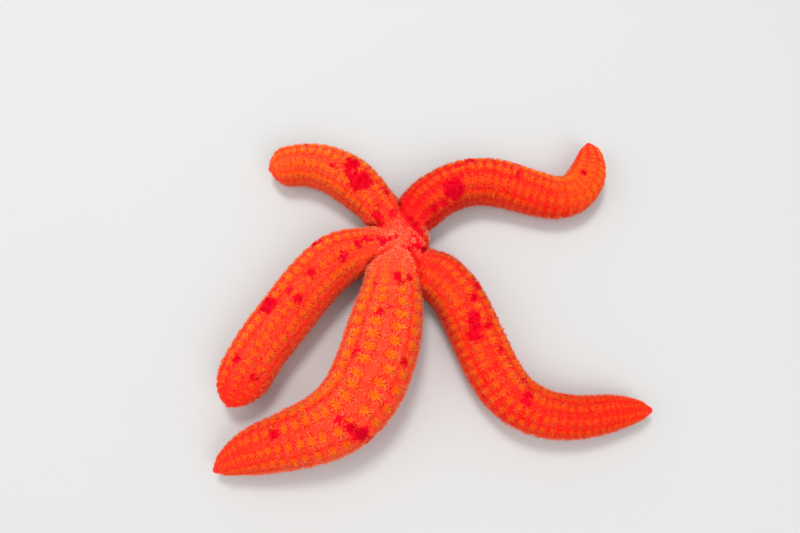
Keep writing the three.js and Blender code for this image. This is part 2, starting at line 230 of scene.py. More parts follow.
class Arm:
    """An arm's line on the floor, half width and height, by distance from the middle of the disc."""

    def __init__(self, index, centre, name, length, half_width, tip_share, rounded_from, neck_end, swollen_by,
                 root_left, headings, warmth, glow, paleness, roll):
        self.index, self.name, self.length, self.paleness = index, name, length, paleness
        t = np.linspace(0, 1, PATH_STEPS + 1)
        step = length / PATH_STEPS
        self.distance = t * length
        fading = np.minimum(1, self.distance / ROOT_FADE)
        turn_back = np.arctan(root_left * 6 * fading * (1 - fading) / ROOT_FADE)
        self.heading = np.radians(through(headings, t)) - turn_back
        between = (self.heading[1:] + self.heading[:-1]) / 2
        self.roll = np.radians(through(roll, t))
        self.warmth = through(warmth, t)
        self.glow = through(glow, t)
        start = centre + root_left * np.array([-math.sin(self.heading[0]), math.cos(self.heading[0])])
        self.x = start[0] + np.append(0, np.cumsum(np.cos(between))) * step
        self.y = start[1] + np.append(0, np.cumsum(np.sin(between))) * step
        taper = 1 - (1 - tip_share) * np.clip((t - TAPER_FROM) / (1 - TAPER_FROM), 0, 1) ** TAPER_POWER
        full = (NECK + (half_width - NECK) * smoothstep(neck_end, swollen_by, self.distance)) * taper
        rounding = np.clip((t - rounded_from) / (1 - rounded_from), 0, 1)
        self.radius = full * np.sqrt(1 - rounding ** 2)
        self.height = SIT * full + TIP_LIFT * rounding ** 2
        inset = INSET * (1 - 0.5 * smoothstep(*INSET_TO_TIP, t))
        self.skin = self.radius - inset * np.clip((self.radius - TERMINAL_RADIUS) / 5, 0, 1)
        self.slope = np.clip(np.gradient(self.skin, self.distance), -2, 2)
        self.end = float(self.distance[self.radius >= TERMINAL_SEAT][-1])

    def look_up(self, column, s):
        return np.interp(s, self.distance, column)

    def directions(self, s):
        """Points of the axis, and the directions forward, left and up there."""
        heading = self.look_up(self.heading, s)
        flat = np.zeros_like(heading)
        axis = np.stack([self.look_up(self.x, s), self.look_up(self.y, s), self.look_up(self.height, s)], -1)
        forward = np.stack([np.cos(heading), np.sin(heading), flat], -1)
        left = np.stack([-np.sin(heading), np.cos(heading), flat], -1)
        return axis, forward, left, np.stack([flat, flat, flat + 1], -1)

    def surface(self, s, angle):
        """Points of the skin, and the directions out of it, at angles to the left from the top."""
        axis, forward, left, up = self.directions(s)
        out = times(left, np.sin(angle)) + times(up, np.cos(angle))
        point = axis + times(out, self.look_up(self.skin, s))
        point[:, 2] = np.maximum(point[:, 2], SOLE)
        return point, unit(out - times(forward, self.look_up(self.slope, s)))

    def locate(self, points):
        """Distance along the arm, angle from its top and height over its skin, of each point."""
        line = np.stack([self.x, self.y], -1)[::4]
        blocks = [((points[i:i + 20000, None, :2] - line) ** 2).sum(-1).argmin(1)
                  for i in range(0, len(points), 20000)]
        s = self.distance[::4][np.concatenate(blocks)]
        axis, forward, _, _ = self.directions(s)
        s = np.clip(s + ((points - axis) * forward).sum(-1), 0, self.length)
        axis, _, left, _ = self.directions(s)
        off = points - axis
        return (s, np.arctan2((off * left).sum(-1), off[:, 2]),
                np.linalg.norm(off, axis=-1) - self.look_up(self.skin, s))


low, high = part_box("mouth_film")
CENTRE = np.array([low.x + high.x, low.y + high.y]) / 2 / MM
ARMS = [Arm(i, CENTRE, **sizes) for i, sizes in enumerate(ARM_SIZES)]


def on_arms(points):
    """Columns for points near the skin: whose arm each is on, where there, and how far the next arm is."""
    found = np.array([arm.locate(points) for arm in ARMS])
    s, angle, off = found[:, 0], found[:, 1], found[:, 2]
    owner = off.argmin(0)
    own = (owner, np.arange(len(points)))
    rest = off.copy()
    rest[own] = np.inf
    return dict(arm=owner, s=s[own], angle=angle[own], off=off[own], next_off=rest.min(0)), s, angle


def on_arm_values(index, s, angle):
    """What the finishes need to know about places on the arms."""
    looked_up = {key: np.choose(index, [arm.look_up(getattr(arm, key), s) for arm in ARMS])
                 for key in ("warmth", "glow")}
    return dict(from_disc=s, round=np.abs(angle), paleness=np.array([arm.paleness for arm in ARMS])[index],
                **looked_up)


# ---- Making meshes ----


def mesh_object(name, points, faces, material, attributes=None, bake_map=None):
    """An object that rides on the part, from points in millimetres and a list of arrays of faces."""
    mesh = bpy.data.meshes.new(name)
    corners = np.concatenate([group.ravel() for group in faces])
    sizes = np.concatenate([np.full(len(group), group.shape[1]) for group in faces])
    mesh.vertices.add(len(points))
    mesh.vertices.foreach_set("co", (points * MM).astype(np.float32).ravel())
    mesh.loops.add(len(corners))
    mesh.loops.foreach_set("vertex_index", corners.astype(np.int32))
    mesh.polygons.add(len(sizes))
    mesh.polygons.foreach_set("loop_start", np.append(0, np.cumsum(sizes)[:-1]).astype(np.int32))
    mesh.polygons.foreach_set("loop_total", sizes.astype(np.int32))
    mesh.polygons.foreach_set("use_smooth", np.ones(len(sizes), bool))
    for key, values in (attributes or {}).items():
        mesh.attributes.new(key, "FLOAT", "POINT").data.foreach_set("value", values.astype(np.float32))
    if bake_map is not None:
        on_corners = bake_map[corners] if len(bake_map) == len(points) else bake_map
        mesh.uv_layers.new(name="OFBake").data.foreach_set("uv", on_corners.astype(np.float32).ravel())
    mesh.update(calc_edges=True)
    mesh.validate()
    mesh.materials.append(material)
    made = bpy.data.objects.new(name, mesh)
    bpy.context.scene.collection.objects.link(made)
    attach(made, "root")
    return made


def bake_place(arm, s, angle):
    """Where a place on the skin lies on its unwrap: a band for each arm, along it and round it."""
    return np.stack([0.012 + 0.976 * s / 150, (arm + 0.5 + 0.46 * angle / math.pi) / len(ARMS)], -1)


def rod_mesh(rods, sides, stations, thickness, blunt):
    """Points and faces of many bent rods, with each point's share of its rod's length and its rod."""
    count, rings = len(rods["point"]), len(stations)
    t = np.array(stations)[None, :, None]
    bend = rods["bend"][:, None, None] * t * t
    lean = rods["lean"][:, None]
    path = rods["point"][:, None] + rods["length"][:, None, None] * (
        rods["out"][:, None] * (t - 0.35 * bend) + lean * bend)
    along = unit(np.gradient(path, axis=1))
    side = unit(np.cross(along, lean + 0.013))
    other = np.cross(along, side)
    turn = (np.arange(sides) * 2 * math.pi / sides)[None, None, :, None]
    turn = turn + rng.uniform(0, ALL_ROUND, (count, 1, 1, 1))
    size = rods["radius"][:, None, None, None] * np.array(thickness)[None, :, None, None]
    ring = path[:, :, None] + size * (side[:, :, None] * np.cos(turn) + other[:, :, None] * np.sin(turn))
    end = path[:, -1] + times(along[:, -1], rods["radius"] * thickness[-1] * blunt)
    points = np.concatenate([ring.reshape(count, -1, 3), end[:, None]], 1)
    each = rings * sides + 1
    k = np.arange(sides)
    after = (k + 1) % sides
    last = each - 1 - sides
    band = np.stack([k, after, after + sides, k + sides], -1)
    quads = np.concatenate([band + ring_start for ring_start in range(0, last, sides)])
    caps = np.stack([k + last, after + last, np.full(sides, each - 1)], -1)
    shift = (np.arange(count) * each)[:, None, None]
    points = points.reshape(-1, 3)
    points[:, 2] = np.maximum(points[:, 2], FLOOR_CLEAR)
    share = np.tile(np.append(np.repeat(stations, sides), 1.0), count)
    return (points, [(quads[None] + shift).reshape(-1, 4), (caps[None] + shift).reshape(-1, 3)],
            share, np.repeat(np.arange(count), each))


def rod_pieces(name, rods, material, sides, stations, thickness, blunt=0.8, mapped=True):
    """Rods as objects of about PIECE_TRIANGLES at most. rods has a column for each thing that differs:
    point, out, lean, bend, length, radius, rank, and arm, s and angle for its place on the skin."""
    triangles = len(rods["point"]) * sides * (2 * len(stations) - 1)
    pieces = math.ceil(triangles / PIECE_TRIANGLES)
    made = []
    for number, rows in enumerate(np.array_split(np.arange(len(rods["point"])), pieces)):
        piece = pick(rods, rows)
        points, faces, share, rod = rod_mesh(piece, sides, stations, thickness, blunt)
        patch = (np.stack([piece["rank"][rod], share], -1) - 0.5) * TUFT_ON_MAP
        bake_map = bake_place(piece["arm"], piece["s"], piece["angle"])[rod] + patch if mapped else None
        each = dict(rank=piece["rank"], chance=rng.uniform(0, 1, len(rows)), blotch=blotch_of(piece["point"]),
                    fold=fold_of(piece["point"]), **on_arm_values(piece["arm"], piece["s"], piece["angle"]))
        attributes = dict(along=share, **{key: values[rod] for key, values in each.items()})
        made.append(mesh_object(f"{name}_{number + 1}", points, faces, material, attributes, bake_map))
    return made


def across(out):
    """A direction square to each outward one, at a random turn."""
    guess = rng.normal(0, 1, out.shape)
    return unit(guess - times(out, (guess * out).sum(-1)))


def few_rods(point, out, length, radius):
    """The columns of rods that don't bend and have no place on the map."""
    out = unit(np.array(out, float))
    count = len(out)
    none = np.zeros(count)
    return dict(point=np.array(point, float), out=out, lean=across(out), bend=none, length=none + length,
                radius=none + radius, rank=none + 0.5, arm=none.astype(int), s=none, angle=none)


# ---- Materials ----


def linear(level):
    """A level from 0 to 255 of the sRGB scale, in linear light."""
    share = level / 255
    return share / 12.92 if level <= 10 else ((share + 0.055) / 1.055) ** 2.4


def srgb(red, green, blue):
    return linear(red), linear(green), linear(blue), 1


class Finish:
    """A short way to write a material's nodes."""

    def __init__(self, name, roughness, specular=0.12, subsurface=0.0):
        self.material = bpy.data.materials.new(name)
        self.material.use_nodes = True
        self.tree = self.material.node_tree
        self.shader = self.tree.nodes["Principled BSDF"].inputs
        self.shader["Roughness"].default_value = roughness
        self.shader["Specular IOR Level"].default_value = specular
        self.shader["Subsurface Weight"].default_value = subsurface
        self.shader["Subsurface Radius"].default_value = (1, 0.3, 0.15)
        self.shader["Subsurface Scale"].default_value = 1.2 * MM

    def add(self, kind, output, inputs, **settings):
        node = self.tree.nodes.new(kind)
        for key, value in settings.items():
            setattr(node, key, value)
        for key, value in inputs.items():
            self.put(node.inputs[key], value)
        return node.outputs[output]

    def put(self, socket, value):
        if isinstance(value, bpy.types.NodeSocket):
            self.tree.links.new(value, socket)
        else:
            socket.default_value = value

    def attribute(self, name):
        return self.add("ShaderNodeAttribute", "Fac", {}, attribute_name=name)

    def product(self, a, b):
        return self.add("ShaderNodeMath", 0, {0: a, 1: b}, operation="MULTIPLY")

    def sum(self, a, b):
        return self.add("ShaderNodeMath", 0, {0: a, 1: b}, operation="ADD")

    def rise(self, value, low, high, start=0.0, end=1.0):
        """From start to end as a value goes from low to high, smoothly."""
        return self.add("ShaderNodeMapRange", 0, {0: value, 1: low, 2: high, 3: start, 4: end},
                        interpolation_type="SMOOTHSTEP")

    def mix(self, share, a, b):
        return self.add("ShaderNodeMix", 2, {0: share, 6: a, 7: b}, data_type="RGBA")

    def noise(self, size, detail=3.0):
        place = self.add("ShaderNodeTexCoord", "Object", {})
        inputs = {"Vector": place, "Scale": 1 / (size * MM), "Detail": detail}
        return self.add("ShaderNodeTexNoise", 0, inputs)

    def cells(self, size):
        place = self.add("ShaderNodeTexCoord", "Object", {})
        return self.add("ShaderNodeTexVoronoi", 0, {"Vector": place, "Scale": 1 / (size * MM)})

    def bump(self, height, strength, depth, under=None):
        inputs = {"Height": height, "Strength": strength, "Distance": depth * MM}
        if under:
            inputs["Normal"] = under
        return self.add("ShaderNodeBump", 0, inputs)

    def glowing(self, colour, most):
        """A colour made redder or more orange, as the arm is there, and less so down its sides."""
        glow = self.product(self.attribute("glow"), self.rise(self.attribute("round"), 0.8, 1.5, 1.0, 0.4))
        colour = self.mix(self.rise(glow, 0.0, -1.0, 0.0, most), colour, TIP_RED)
        return self.mix(self.rise(glow, 0.0, 1.0, 0.0, most), colour, GLOW)

    def ground(self):
        """The colour of the skin, and of the fuzz on it, away from the tufts."""
        pale = self.attribute("paleness")
        orange = self.product(self.rise(self.noise(9), 0.38, 0.62), self.rise(pale, 0.0, 0.5, 0.35, 1.0))
        colour = self.mix(self.product(pale, 0.8), self.mix(orange, RED, ORANGE_RED), CORAL)
        return self.mottled(self.painted_flank_shade(self.glowing(colour, 0.8), 0.8), 0.9)

    def mottled(self, colour, most):
        """A colour with crimson between, on the redder arms near the disc."""
        near = self.product(self.rise(self.attribute("from_disc"), 45, 20),
                            self.rise(self.attribute("paleness"), 0.3, 0.0, 0.0, most))
        return self.mix(self.product(self.rise(self.noise(1.6), 0.48, 0.58), near), colour, CRIMSON)

    def painted_flank_shade(self, colour, most):
        """Painted shade: a colour made deep red down the sides of the redder arms, near the disc, where they
        lie in shade.
        """
        side = self.rise(self.attribute("round"), 0.7, 1.2)
        near = self.rise(self.attribute("from_disc"), 62, 35)
        red = self.rise(self.attribute("paleness"), 0.6, 0.1, 0.0, most)
        return self.mix(self.product(self.product(side, near), red), colour, SHADE_RED)

    def blotched(self, colour):
        """Crimson blotches with ragged edges over a colour."""
        ragged = self.rise(self.noise(1.6), 0.3, 0.7, -1.2, 0.8)
        return self.mix(self.rise(self.sum(self.attribute("blotch"), ragged), 0.4, 0.0), colour, CRIMSON)

    def done(self, colour, normal=None):
        self.put(self.shader["Base Color"], colour)
        if normal:
            self.put(self.shader["Normal"], normal)
        return self.material


RED = srgb(238, 6, 12)
TIP_RED = srgb(240, 24, 16)
GLOW = srgb(254, 98, 24)
ORANGE_RED = srgb(249, 46, 16)
PINK_RED = srgb(246, 18, 24)
# Painted shade: the deep red put down the arms' flanks and into the folds.
SHADE_RED = srgb(206, 2, 16)
CRIMSON = srgb(226, 0, 30)
CORAL = srgb(250, 72, 42)
SPECK = srgb(218, 8, 12)
ORANGE = srgb(253, 92, 14)
GILL_RED = srgb(254, 137, 32)
GILL_WARM = srgb(255, 176, 34)
# The redder colour of gills down the arms' sides: partly their own colour, partly painted shade.
SHADED_SIDE_GILL = srgb(255, 48, 16)
PINK_ORANGE = srgb(250, 68, 50)
PALE_TIP = srgb(255, 162, 118)
PALE_PINK = srgb(252, 96, 74)
PALE = srgb(246, 160, 110)
UNDER = srgb(240, 120, 54)
FLOOR_GREY = srgb(186, 186, 184)


def skin_finish():
    f = Finish("skin", 0.6, specular=0.05, subsurface=0.1)
    colour = f.mix(f.rise(f.noise(3.5), 0.5, 0.7, 0.0, 0.5), f.ground(), PINK_RED)
    tuft = f.attribute("tuft")
    warm = f.rise(f.attribute("warmth"), 0.0, 1.0, 0.35, 0.9)
    colour = f.mix(f.product(f.rise(tuft, 0.15, 0.5), warm), colour, ORANGE)
    round_tuft = f.product(f.rise(tuft, -0.5, -0.1), f.rise(tuft, 0.45, 0.2))
    colour = f.mix(f.product(round_tuft, f.rise(f.noise(0.8, 1), 0.42, 0.58, 0.15, 0.9)), colour, SPECK)
    colour = f.mix(f.rise(f.attribute("from_disc"), 16, 5, 0.0, 0.4), colour, PINK_ORANGE)
    colour = f.mix(f.rise(f.attribute("round"), 2.2, 2.6, 0.0, 0.8), colour, UNDER)
    colour = f.mix(f.rise(f.noise(1.7, 1), 0.7, 0.75, 0.0, 0.5), colour, CRIMSON)
    # Painted shade: deep red in the folds and where the arms meet near the disc.
    colour = f.mix(f.rise(f.attribute("fold"), 2.0, 0.4, 0.0, 0.6), colour, SHADE_RED)
    normal = f.bump(f.noise(1.5, 4), 0.3, 0.3, f.bump(f.cells(0.42), 0.4, 0.12))
    return f.done(f.blotched(colour), normal)


def gill_finish():
    f = Finish("gills", 0.5, specular=0.05, subsurface=0.6)
    warm, along, rank = (f.attribute(name) for name in ("warmth", "along", "rank"))
    core = f.mix(f.rise(along, 0.15, 0.75), f.mix(warm, RED, ORANGE_RED), f.mix(warm, GILL_RED, GILL_WARM))
    rim = f.mix(f.product(f.rise(along, 0.3, 1.0), f.rise(warm, 0.0, 1.0, 0.25, 0.6)), ORANGE_RED, PALE_TIP)
    colour = f.mix(f.rise(rank, 0.5, 0.85), core, rim)
    # Gills redder down the sides: partly their own colour, partly painted shade.
    colour = f.mix(f.rise(f.attribute("round"), 0.5, 1.3, 0.0, 0.9), colour, SHADED_SIDE_GILL)
    colour = f.mix(f.rise(f.attribute("chance"), 0.6, 0.85, 0.0, 0.65), colour, RED)
    colour = f.glowing(colour, 0.7)
    pale = f.rise(f.attribute("paleness"), 0.0, 0.7, 0.2, 0.7)
    near = f.product(f.rise(f.attribute("from_disc"), 26, 8), pale)
    colour = f.mottled(f.painted_flank_shade(f.mix(near, colour, PINK_ORANGE), 0.7), 0.6)
    # Paler tips down the sides: partly the gills' own pale tips, partly painted sheen of light through them
    # at the edges.
    colour = f.mix(f.product(f.rise(f.attribute("round"), 0.9, 1.5), f.rise(along, 0.5, 1.0, 0.0, 0.2)),
                   colour, PALE_TIP)
    return f.done(f.blotched(colour))


def fuzz_finish():
    f = Finish("fuzz", 0.5, specular=0.05, subsurface=0.4)
    pale = f.attribute("paleness")
    # Down the sides the hairs' tips turn pale: partly their own colour, partly painted sheen of light through
    # them at the edges; near the disc it is their own colour.
    side = f.product(f.rise(f.attribute("round"), 0.5, 1.3, 0.08, 0.38), f.rise(pale, 0.0, 1.0, 0.3, 1.0))
    near = f.sum(f.rise(f.attribute("from_disc"), 14, 6, 0.0, 0.7),
                 f.product(pale, f.rise(f.attribute("from_disc"), 26, 9, 0.0, 0.6)))
    share = f.product(f.sum(side, near), f.rise(f.attribute("chance"), 0.2, 0.8, 0.15, 1.4))
    # Hairs in the folds lose their pale tips, a painted darkening of those creases.
    tip = f.product(f.rise(f.attribute("along"), 0.3, 1.0), f.rise(f.attribute("fold"), 0.8, 2.2))
    colour = f.mix(f.product(tip, share), f.ground(), PALE_TIP)
    return f.done(f.blotched(colour))


def plain_finish(name, root, tip, roughness=0.45):
    """A finish that goes from one colour to another along each rod."""
    f = Finish(name, roughness, specular=0.25, subsurface=0.1)
    return f.done(f.mix(f.rise(f.attribute("along"), 0.1, 1.0), root, tip), f.bump(f.noise(0.5), 0.2, 0.08))


# ---- The skin ----


def ring_of(arm, s):
    """One cross-section of the skin with its groove, from the top down the left side and round."""
    axis, _, left, up = (value[0] for value in arm.directions(np.array([s])))
    radius = float(arm.look_up(arm.skin, s))
    floor = SOLE - axis[2]
    lip = math.pi - math.asin(GROOVE_LIP)
    angles = np.append(np.linspace(0, math.radians(140), 15), np.linspace(math.radians(146), lip, 4))
    side = [(radius * math.sin(a), max(radius * math.cos(a), floor)) for a in angles]
    lip_rise = side[-1][1]
    side.append((GROOVE_WALL * radius, lip_rise + 0.75 * GROOVE_DEPTH * radius))
    other = [(-out, rise) for out, rise in side[:0:-1]]
    outline = side + [(0, lip_rise + GROOVE_DEPTH * radius)] + other
    return np.array([axis + left * out + up * rise for out, rise in outline])


def dome_rings(sides=48, count=24):
    """The disc as rings from its underside to its top."""
    middle, bottom = 9, 2.2
    turn = np.linspace(0, 2 * math.pi, sides, endpoint=False)
    rings = []
    for lean in np.linspace(math.pi - 0.04, 0.04, count):
        reach = (DISC_RADIUS - 0.6) * math.sin(lean) ** 0.8
        half = DISC_TOP - INSET - middle if lean < math.pi / 2 else middle - bottom
        rings.append(np.stack([CENTRE[0] + reach * np.cos(turn), CENTRE[1] + reach * np.sin(turn),
                               np.full(sides, middle + half * math.cos(lean))], -1))
    return np.stack(rings)


def closed_loft(rings):
    """Points and faces of a closed skin over rings, with a point in the middle of each end."""
    count = rings.shape[1]
    last = (len(rings) - 1) * count
    points = np.concatenate([rings.reshape(-1, 3), rings[:1].mean(1), rings[-1:].mean(1)])
    i = np.arange(count)
    after = (i + 1) % count
    band = np.stack([i, i + count, after + count, after], -1)
    quads = np.concatenate([band + ring_start for ring_start in range(0, last, count)])
    ends = np.concatenate([np.stack([np.full(count, last + count), i, after], -1),
                           np.stack([np.full(count, last + count + 1), after + last, i + last], -1)])
    return points, [quads, ends]


def fused_skin():
    """The five arms and the disc as one closed surface: its points and its four-sided faces."""
    lofts = [closed_loft(dome_rings())]
    for arm in ARMS:
        stations = np.append(np.arange(0, arm.length - 2, 1.2), arm.length - np.array([1.6, 1.0, 0.5, 0.2]))
        lofts.append(closed_loft(np.stack([ring_of(arm, s) for s in stations])))
    points, faces, shift = [], [], 0
    for loft_points, loft_faces in lofts:
        points.append(loft_points)
        faces += [face for group in loft_faces for face in (group + shift).tolist()]
        shift += len(loft_points)
    mesh = bpy.data.meshes.new("rough_skin")
    mesh.from_pydata(np.concatenate(points).tolist(), [], faces)
    rough = bpy.data.objects.new("rough_skin", mesh)
    bpy.context.scene.collection.objects.link(rough)
    fuse = rough.modifiers.new("Fuse", "REMESH")
    fuse.mode = "VOXEL"
    fuse.voxel_size = VOXEL
    fused = bpy.data.meshes.new_from_object(rough.evaluated_get(bpy.context.evaluated_depsgraph_get()))
    points = np.empty(len(fused.vertices) * 3, np.float32)
    corners = np.empty(len(fused.loops), np.int32)
    fused.vertices.foreach_get("co", points)
    fused.loops.foreach_get("vertex_index", corners)
    bpy.data.objects.remove(rough)
    return points.reshape(-1, 3).astype(float), corners.reshape(-1, 4)


def spread(corners, values, count):
    """Sums values at the points that corners name."""
    return np.stack([np.bincount(corners, column, count) for column in values.T], -1)


def relaxed(points, quads, rounds=4, strength=0.5):
    """Points, or other values at them, drawn towards their neighbours', which evens out small steps."""
    ends = np.concatenate([quads[:, [k, (k + 1) % 4]] for k in range(4)])
    ends = np.concatenate([ends, ends[:, ::-1]])
    count = np.bincount(ends[:, 0])[:, None]
    for _ in range(rounds):
        points = points + strength * (spread(ends[:, 0], points[ends[:, 1]], len(points)) / count - points)
    return points


def normals_of(points, quads):
    face = np.cross(points[quads[:, 2]] - points[quads[:, 0]], points[quads[:, 3]] - points[quads[:, 1]])
    return unit(spread(quads.ravel(), np.repeat(face, 4, 0), len(points)))


skin_points, skin_quads = fused_skin()
skin_points = relaxed(skin_points, skin_quads)
from_centre = np.linalg.norm(skin_points[:, :2] - CENTRE, axis=1)
in_mouth = smoothstep(MOUTH_RADIUS + 0.5, MOUTH_RADIUS - 0.5, from_centre) * (skin_points[:, 2] < MOUTH_DEPTH)
skin_points[:, 2] += in_mouth * (MOUTH_DEPTH - skin_points[:, 2])
skin_normals = normals_of(skin_points, skin_quads)
skin_place, skin_s, skin_angles = on_arms(skin_points)

# ---- The camera, and the places that are known by their pixels ----

elevation = math.radians(ELEVATION)
target = np.append(CENTRE + TARGET_FROM_DISC, 0)
look = np.array([0, math.cos(elevation), -math.sin(elevation)])
camera_up = np.array([0, math.sin(elevation), math.cos(elevation)])
eye = target - DISTANCE * look
camera = bpy.data.objects.new("camera", bpy.data.cameras.new("camera"))
bpy.context.scene.collection.objects.link(camera)
camera.location = Vector(eye * MM)
camera.rotation_euler = (math.radians(90 - ELEVATION), 0, 0)
camera.data.sensor_width = 36
camera.data.lens = camera.data.sensor_width * FOCAL_PIXELS / FRAME_WIDTH
camera.data.clip_start = 0.01
bpy.context.scene.camera = camera

skin_tree = BVHTree.FromPolygons(skin_points.tolist(), skin_quads.tolist())
low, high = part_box("madreporite")
SIEVE, SIEVE_OUT = (np.array(found) for found in skin_tree.find_nearest((low + high) / 2 / MM)[:2])


def on_skin(x, y):
    """The point of the skin that is seen at a pixel, or None."""
    aside = np.array([1, 0, 0]) * (x - FRAME_WIDTH / 2)
    ray = look + (aside - camera_up * (y - FRAME_HEIGHT / 2)) / FOCAL_PIXELS
    hit = skin_tree.ray_cast(Vector(eye), Vector(ray).normalized())[0]
    return None if hit is None else np.array(hit)


def pixel_at(point):
    """How long a pixel is there, in millimetres."""
    return (point - eye) @ look / FOCAL_PIXELS


blotches = [(hit, radius * pixel_at(hit)) for x, y, radius in BLOTCHES if (hit := on_skin(x, y)) is not None]
far_side = np.flatnonzero((skin_normals[:, 1] > 0.6) & (skin_points[:, 2] > 3))
for k in rng.choice(far_side, HIDDEN_BLOTCHES):
    blotches.append((skin_points[k], rng.uniform(*HIDDEN_RADIUS)))


def blotch_of(points):
    """Distance from the edge of the nearest blotch, less than zero inside it."""
    nearest = np.full(len(points), 9.0)
    for middle, radius in blotches:
        nearest = np.minimum(nearest, np.linalg.norm(points - middle, axis=1) - BLOTCH_SPREAD * radius)
    return nearest


def nearest_of(targets, points):
    """Index of and distance to the nearest of some targets, for each point."""
    tree = kdtree.KDTree(len(targets))
    for k, place in enumerate(targets):
        tree.insert(place, k)
    tree.balance()
    found = [tree.find(point)[1:] for point in points]
    return np.array([index for index, _ in found]), np.array([distance for _, distance in found])


fold_points = []
for line in FOLDS:
    for (x, y), (next_x, next_y) in zip(line, line[1:]):
        hits = [on_skin(x + (next_x - x) * w, y + (next_y - y) * w) for w in np.linspace(0, 1, 16)]
        fold_points += [hit for hit in hits if hit is not None]


def fold_of(points):
    """Distance from the nearest fold."""
    return nearest_of(fold_points, points)[1]


# ---- Tufts of skin gills ----


def tuft_radius(arm, s):
    """Small by the disc, full on the arm, and smaller again at its tip."""
    grown = 0.5 + 0.5 * smoothstep(10, 32, s)
    at_tip = 1 - 0.3 * smoothstep(0.8, 1.0, s / arm.length)
    return 0.5 * TUFT_PITCH * float(arm.look_up(arm.radius, s)) * grown * at_tip


def tuft_table():
    """Every tuft on the arms: its place on the skin, radius, point and direction out."""
    columns = []
    for arm in ARMS:
        rows = []
        s = TUFTS_FROM
        while s < arm.length - TUFTS_END:
            radius = tuft_radius(arm, s)
            for row in TUFT_ROWS:
                for side in (-1, 1):
                    angle = math.radians(side * row + ROW_WANDER * rng.normal())
                    rows.append((s + 0.12 * radius * rng.normal(), angle, radius * rng.uniform(0.93, 1.07)))
            s += 2 * radius
        s, angle, radius = np.array(rows).T
        angle += arm.look_up(arm.roll, s) * smoothstep(2.0, 1.0, np.abs(angle))
        point, out = arm.surface(s, angle)
        columns.append(dict(arm=np.full(len(s), arm.index), s=s, angle=angle, tuft=radius, point=point,
                            out=out, forward=arm.directions(s)[1]))
    table = {key: np.concatenate([column[key] for column in columns]) for key in columns[0]}
    place, _, _ = on_arms(table["point"])
    table = pick(table, (place["next_off"] > 1.0) & (place["arm"] == table["arm"]))
    table = pick(table, fold_of(table["point"]) > 1.5)
    table["point"] = np.array([skin_tree.find_nearest(point)[0] for point in table["point"]])
    return table


def gill_table(tufts):
    """Every gill of the tufts: they stand up in the middle and lean outward round it."""
    big = tufts["tuft"] / USUAL_TUFT
    number = np.maximum(FEWEST_GILLS, np.round(GILLS * big)).astype(int)
    gills = pick(tufts, np.repeat(np.arange(len(big)), number))
    order = np.concatenate([np.arange(n) + 0.5 for n in number])
    big = gills["tuft"] / USUAL_TUFT
    rank = np.sqrt(order / np.repeat(number, number))
    turn = order * math.radians(GILL_STEP) + np.repeat(rng.uniform(0, ALL_ROUND, len(number)), number)
    turn += rng.normal(0, 0.2, len(order))
    along = unit(gills["forward"] - times(gills["out"], (gills["forward"] * gills["out"]).sum(-1)))
    away = (times(along, TUFT_NARROWED * np.cos(turn))
            + times(np.cross(gills["out"], along), TUFT_WIDENED * np.sin(turn)))
    sunk = GILL_SUNK - CUSHION * (1 - rank ** 2)
    aside = times(away, TUFT_FILLED * gills["tuft"] * rank)
    gills["point"] = gills["point"] + aside - times(gills["out"], sunk)
    gills["out"] = unit(gills["out"] + times(away, 0.06 + 1.0 * rank ** 2.5))
    gills["lean"] = unit(away)
    at_side = smoothstep(0.8, 1.4, np.abs(gills["angle"]))
    gills["bend"] = (0.1 + 0.45 * rank ** 2) * (1 - 0.6 * at_side)
    gills["length"] = GILL_LENGTH * np.clip(big, 0.35, 1.3) ** 0.5 * rng.uniform(0.82, 1.12, len(order))
    gills["length"] *= 1 - 0.28 * at_side
    gills["radius"] = GILL_RADIUS * np.clip(big, 0.5, 1.4) ** 0.4 * rng.uniform(0.85, 1.15, len(order))
    gills["rank"] = rank
    return gills


# ---- The fuzz ----


def fuzz_table(from_tuft, fold, points):
    """Short hairs all over the skin but its underside, its folds, the sieve plate and the middles of the
    tufts. They stand closest by the disc, and are longest down the sides of the arms."""
    corners = points[skin_quads]
    area = np.linalg.norm(np.cross(corners[:, 2] - corners[:, 0], corners[:, 3] - corners[:, 1]), axis=1) / 2
    corner = skin_quads[:, 0]
    near_disc = smoothstep(28, 12, skin_place["s"][corner])
    at_side = smoothstep(0.6, 1.3, np.abs(skin_place["angle"][corner]))
    bare = (np.abs(skin_place["angle"][corner]) > 2.1) | (from_tuft[corner] < 0.5) | (fold[corner] < 0.4)
    bare |= np.linalg.norm(points[corner] - SIEVE, axis=1) < SIEVE_RADIUS + SIEVE_BARE
    weight = area * ~bare * (1 + 1.6 * near_disc + 0.4 * at_side)
    faces = rng.choice(len(area), int(weight.sum() / FUZZ_EVERY), p=weight / weight.sum())
    share = rng.dirichlet(np.ones(4), len(faces))
    corner, near_disc, at_side = corner[faces], near_disc[faces], at_side[faces]
    out = unit(skin_normals[corner] + rng.normal(0, 0.22, (len(faces), 3)))
    along_arm = skin_place["s"][corner] / np.array([arm.length for arm in ARMS])[skin_place["arm"][corner]]
    length = FUZZ_LENGTH * rng.uniform(0.6, 1.4, len(faces)) * (1 + 0.75 * at_side)
    length *= 1 - 0.6 * smoothstep(0.86, 0.98, along_arm)
    thick = FUZZ_RADIUS * (1 + 0.7 * near_disc + 0.2 * at_side)
    root = (corners[faces] * share[:, :, None]).sum(1) - out * FUZZ_SUNK
    return dict(point=root, out=out, lean=across(out), bend=np.full(len(faces), 0.3), length=length,
                radius=thick, rank=rng.uniform(0, 1, len(faces)), arm=skin_place["arm"][corner],
                s=skin_place["s"][corner], angle=skin_place["angle"][corner])


# ---- Making the skin and the coat ----

